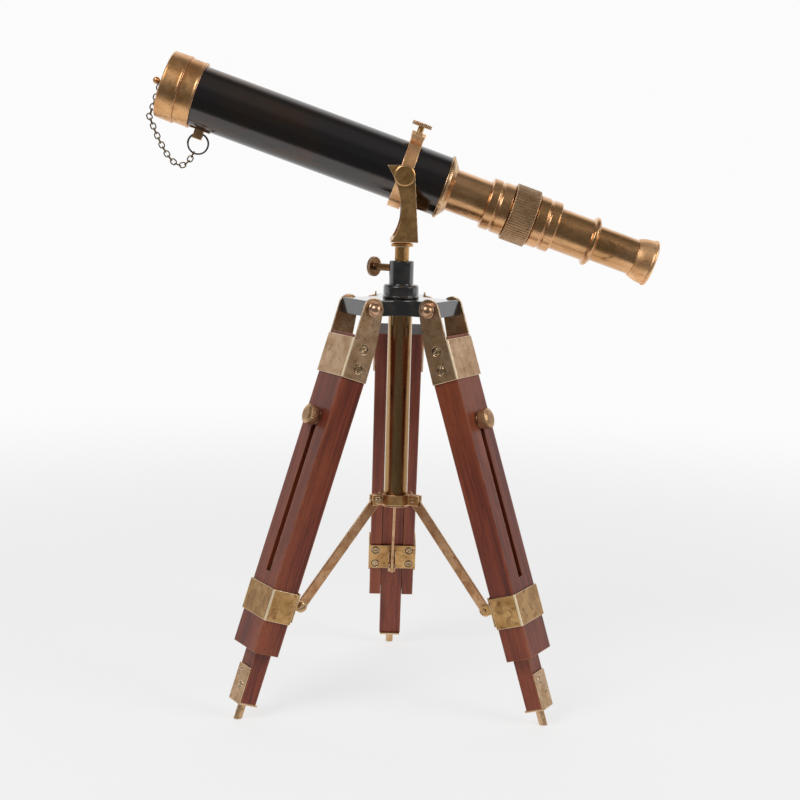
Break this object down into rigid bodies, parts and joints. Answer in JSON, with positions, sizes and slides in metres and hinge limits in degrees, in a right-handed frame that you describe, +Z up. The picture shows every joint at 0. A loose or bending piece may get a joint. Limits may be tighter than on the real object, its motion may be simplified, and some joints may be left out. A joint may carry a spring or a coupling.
{
  "type": "desk telescope on folding tripod",
  "caption": "Draw-tube spyglass in a tilting yoke on a folding wooden tripod with sliding leg extensions, spreader and clamp screws.",
  "frame": {"origin": "on the floor, under the middle of the whole's bounding box; the column axis stands at x = -0.54 mm, y = -24.67 mm", "axes": "+Z up; the telescope lies parallel to the XZ plane with its objective towards -X; one leg stands towards +Y"},
  "size_m": [0.3408, 0.1886, 0.4304],
  "materials": {
    "patinated_tube": "black-brown patina, lacquered gloss",
    "antique_brass": "aged, satin",
    "cap_brass": "aged, satin, copper tint",
    "rosy_brass": "polished, rosy tint",
    "copper_brass": "brushed, copper tint",
    "sheet_brass": "mottled lacquered sheet",
    "screw_brass": "aged",
    "knurled_brass": "aged, knurled",
    "column_brass": "polished, dark lacquer",
    "black_brass": "blackened",
    "black_head": "glossy black",
    "dark_steel": "darkened wire",
    "dark_chain": "darkened wire",
    "rosewood": "lacquered",
    "glass": "coated"
  },
  "bodies": {
    "tripod_head": {"head_plate": "black_head", "azimuth_socket": "black_head", "column": "column_brass", "leg_pivot_bolts": "rosy_brass"},
    "azimuth_lock": {"azimuth_lock_screw": "antique_brass"},
    "yoke": {"yoke": "antique_brass", "yoke_stem": "antique_brass", "pivot_screws": "antique_brass"},
    "clamp_ring": {"clamp_ring": "cap_brass"},
    "clamp_screw": {"clamp_screw": "antique_brass"},
    "telescope": {"main_tube": "patinated_tube", "objective_cell": "cap_brass", "objective_lens": "glass", "objective_retaining_ring": "black_brass", "chain_lug": "copper_brass", "split_ring": "dark_steel", "cap_chain": "dark_chain", "tube_end_flange": "sheet_brass"},
    "dust_cap": {"dust_cap": "cap_brass", "cap_knob": "cap_brass"},
    "draw_unit": {"draw_tube": "rosy_brass", "erector_cell": "black_brass", "erector_lenses": "glass", "front_collar": "rosy_brass"},
    "focus_ring": {"focus_ring": "knurled_brass"},
    "focus_unit": {"rear_collar": "rosy_brass", "second_draw_tube": "rosy_brass"},
    "eyepiece": {"eyepiece_tube": "rosy_brass", "eyecup": "cap_brass", "eyepiece_lenses": "glass"},
    "spreader": {"spreader_collar": "antique_brass", "spreader_screws": "screw_brass"},
    "leg_1": {"leg_1": "rosewood", "leg_1_top_bracket": "sheet_brass", "leg_1_band": "sheet_brass", "leg_1_hinge_plate": "sheet_brass", "leg_1_screws": "screw_brass"},
    "extension_1": {"leg_1_extension": "rosewood", "leg_1_foot": "sheet_brass"},
    "lock_knob_1": {"leg_1_lock_knob": "knurled_brass"},
    "strut_1": {"strut_1": "copper_brass"},
    "leg_2": {"leg_2": "rosewood", "leg_2_top_bracket": "sheet_brass", "leg_2_band": "sheet_brass", "leg_2_hinge_plate": "sheet_brass", "leg_2_screws": "screw_brass"},
    "extension_2": {"leg_2_extension": "rosewood", "leg_2_foot": "sheet_brass"},
    "lock_knob_2": {"leg_2_lock_knob": "knurled_brass"},
    "strut_2": {"strut_2": "copper_brass"},
    "leg_3": {"leg_3": "rosewood", "leg_3_top_bracket": "sheet_brass", "leg_3_band": "sheet_brass", "leg_3_hinge_plate": "sheet_brass", "leg_3_screws": "screw_brass"},
    "extension_3": {"leg_3_extension": "rosewood", "leg_3_foot": "sheet_brass"},
    "lock_knob_3": {"leg_3_lock_knob": "knurled_brass"},
    "strut_3": {"strut_3": "copper_brass"}
  },
  "joints": [
    {"name": "azimuth", "type": "hinge", "parent": "tripod_head", "child": "yoke", "pos_m": [-0.00054, -0.02467, 0.3], "axis": [0, 0, 1], "continuous": true},
    {"name": "azimuth_lock_turn", "type": "hinge", "parent": "tripod_head", "child": "azimuth_lock", "pos_m": [-0.0163, -0.01236, 0.2932], "axis": [-0.788, 0.6157, 0], "range_deg": [-180, 180]},
    {"name": "tilt", "type": "hinge", "parent": "yoke", "child": "clamp_ring", "pos_m": [-0.00054, -0.02467, 0.3545], "axis": [0, 1, 0], "range_deg": [-55, 25]},
    {"name": "clamp_screw_turn", "type": "hinge", "parent": "clamp_ring", "child": "clamp_screw", "pos_m": [0.00967, -0.02467, 0.38483], "axis": [0.319, 0, 0.9478], "range_deg": [-180, 180]},
    {"name": "tube_in_clamp", "type": "slide", "parent": "clamp_ring", "child": "telescope", "axis": [0.9478, 0, -0.319], "range_m": [-0.02, 0.05]},
    {"name": "dust_cap_pull", "type": "slide", "parent": "telescope", "child": "dust_cap", "axis": [-0.9478, 0, 0.319], "range_m": [0, 0.012], "deforming": ["cap_chain"]},
    {"name": "draw_tube_slide", "type": "slide", "parent": "telescope", "child": "draw_unit", "axis": [0.9478, 0, -0.319], "range_m": [-0.024, 0.034]},
    {"name": "focus_ring_turn", "type": "hinge", "parent": "draw_unit", "child": "focus_ring", "pos_m": [0.07687, -0.02467, 0.33056], "axis": [0.9478, 0, -0.319], "range_deg": [0, 270]},
    {"name": "focus_slide", "type": "slide", "parent": "draw_unit", "child": "focus_unit", "axis": [0.9478, 0, -0.319], "range_m": [0, 0.006]},
    {"name": "eyepiece_slide", "type": "slide", "parent": "focus_unit", "child": "eyepiece", "axis": [0.9478, 0, -0.319], "range_m": [-0.024, 0]},
    {"name": "leg_1_fold", "type": "hinge", "parent": "tripod_head", "child": "leg_1", "pos_m": [-0.02687, -0.03987, 0.2682], "axis": [0.5, -0.866, 0], "range_deg": [0, 12]},
    {"name": "extension_1_slide", "type": "slide", "parent": "leg_1", "child": "extension_1", "axis": [-0.2769, -0.1599, -0.9475], "range_m": [0, 0.1]},
    {"name": "lock_knob_1_turn", "type": "hinge", "parent": "extension_1", "child": "lock_knob_1", "pos_m": [-0.05812, -0.05791, 0.1988], "axis": [-0.8206, -0.4737, 0.3198], "range_deg": [-180, 180]},
    {"name": "leg_2_fold", "type": "hinge", "parent": "tripod_head", "child": "leg_2", "pos_m": [0.02579, -0.03987, 0.2682], "axis": [0.5, 0.866, 0], "range_deg": [0, 12]},
    {"name": "extension_2_slide", "type": "slide", "parent": "leg_2", "child": "extension_2", "axis": [0.2769, -0.1599, -0.9475], "range_m": [0, 0.1]},
    {"name": "lock_knob_2_turn", "type": "hinge", "parent": "extension_2", "child": "lock_knob_2", "pos_m": [0.05704, -0.05791, 0.1988], "axis": [0.8206, -0.4737, 0.3198], "range_deg": [-180, 180]},
    {"name": "leg_3_fold", "type": "hinge", "parent": "tripod_head", "child": "leg_3", "pos_m": [-0.00054, 0.00573, 0.2682], "axis": [-1, 0, 0], "range_deg": [0, 12]},
    {"name": "extension_3_slide", "type": "slide", "parent": "leg_3", "child": "extension_3", "axis": [0, 0.3198, -0.9475], "range_m": [0, 0.1]},
    {"name": "lock_knob_3_turn", "type": "hinge", "parent": "extension_3", "child": "lock_knob_3", "pos_m": [-0.00054, 0.04182, 0.1988], "axis": [0, 0.9475, 0.3198], "range_deg": [-180, 180]},
    {"name": "spreader_slide", "type": "slide", "parent": "tripod_head", "child": "spreader", "axis": [0, 0, 1], "range_m": [0, 0.0168]},
    {"name": "strut_1_swing", "type": "hinge", "parent": "spreader", "child": "strut_1", "pos_m": [-0.01318, -0.03197, 0.1374], "axis": [0.5, -0.866, 0], "range_deg": [0, 31.2]},
    {"name": "strut_2_swing", "type": "hinge", "parent": "spreader", "child": "strut_2", "pos_m": [0.0121, -0.03197, 0.1374], "axis": [0.5, 0.866, 0], "range_deg": [0, 31.2]},
    {"name": "strut_3_swing", "type": "hinge", "parent": "spreader", "child": "strut_3", "pos_m": [-0.00054, -0.01007, 0.1374], "axis": [-1, 0, 0], "range_deg": [0, 31.2]}
  ],
  "couplings": [
    {"joint": "leg_2_fold", "follows": "leg_1_fold", "ratio": 1},
    {"joint": "leg_3_fold", "follows": "leg_1_fold", "ratio": 1},
    {"joint": "spreader_slide", "follows": "leg_1_fold", "m_per_rad": 0.0795},
    {"joint": "strut_1_swing", "follows": "leg_1_fold", "ratio": 2.5813},
    {"joint": "strut_2_swing", "follows": "leg_1_fold", "ratio": 2.5813},
    {"joint": "strut_3_swing", "follows": "leg_1_fold", "ratio": 2.5813},
    {"joint": "focus_ring_turn", "follows": "focus_slide", "rad_per_m": 785.39}
  ]
}
